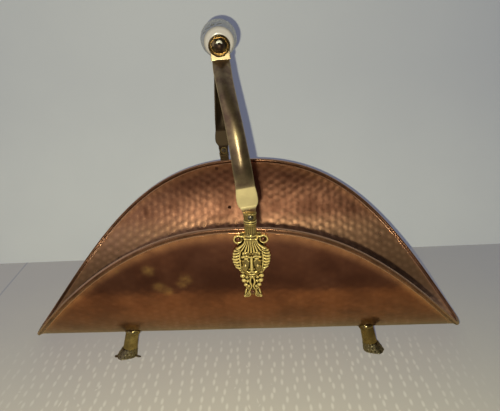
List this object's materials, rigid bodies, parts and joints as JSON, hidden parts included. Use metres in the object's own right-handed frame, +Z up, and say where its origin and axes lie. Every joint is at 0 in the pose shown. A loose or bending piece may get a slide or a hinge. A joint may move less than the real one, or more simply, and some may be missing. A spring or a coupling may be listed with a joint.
{
  "type": "log holder",
  "caption": "Boat-shaped hammered copper log holder on cast feet, with a mask ornament on each side and a swinging bail with a porcelain grip.",
  "frame": {"origin": "on the floor, under the middle of the trough", "axes": "+X along the trough to the picture's right, +Y from the front wall to the rear wall, +Z up"},
  "size_m": [0.5414, 0.2802, 0.392],
  "materials": {
    "copper_sheet": "hammered, darkened",
    "copper_roll": "rolled, darkened",
    "steel_wire": "drawn",
    "cast_brass": "cast, aged",
    "strap_brass": "pressed, aged",
    "turned_brass": "turned, aged",
    "copper_rivet": "copper",
    "dark_brass": "darkened",
    "porcelain": "glazed",
    "steel_rod": "turned"
  },
  "bodies": {
    "trough": {"trough": "copper_sheet", "rim_roll": "copper_roll", "rim_wire": "steel_wire", "front_mask": "cast_brass", "rear_mask": "cast_brass", "front_mask_rivets": "copper_rivet", "rear_mask_rivets": "copper_rivet", "front_pivot_rivet": "copper_rivet", "rear_pivot_rivet": "copper_rivet", "front_pivot_washer": "turned_brass", "rear_pivot_washer": "turned_brass", "foot_front_left": "cast_brass", "foot_front_right": "cast_brass", "foot_rear_left": "cast_brass", "foot_rear_right": "cast_brass", "foot_collar_front_left": "turned_brass", "foot_collar_front_right": "turned_brass", "foot_collar_rear_left": "turned_brass", "foot_collar_rear_right": "turned_brass", "foot_rivets": "copper_rivet"},
    "bail": {"front_strap": "strap_brass", "rear_strap": "strap_brass", "grip_rod": "steel_rod", "front_grip_collar": "turned_brass", "rear_grip_collar": "turned_brass", "front_rosette": "turned_brass", "rear_rosette": "turned_brass", "front_cap_nut": "dark_brass", "rear_cap_nut": "dark_brass"},
    "grip": {"grip": "porcelain"}
  },
  "joints": [
    {"name": "bail_swing", "type": "hinge", "parent": "trough", "child": "bail", "pos_m": [-0.00925, 0, 0.21], "axis": [-0.1505, 0.9886, 0], "range_deg": [-72, 78]},
    {"name": "grip_spin", "type": "hinge", "parent": "bail", "child": "grip", "pos_m": [-0.02, 0, 0.372], "axis": [-0.0698, 0.9976, 0], "continuous": true}
  ]
}
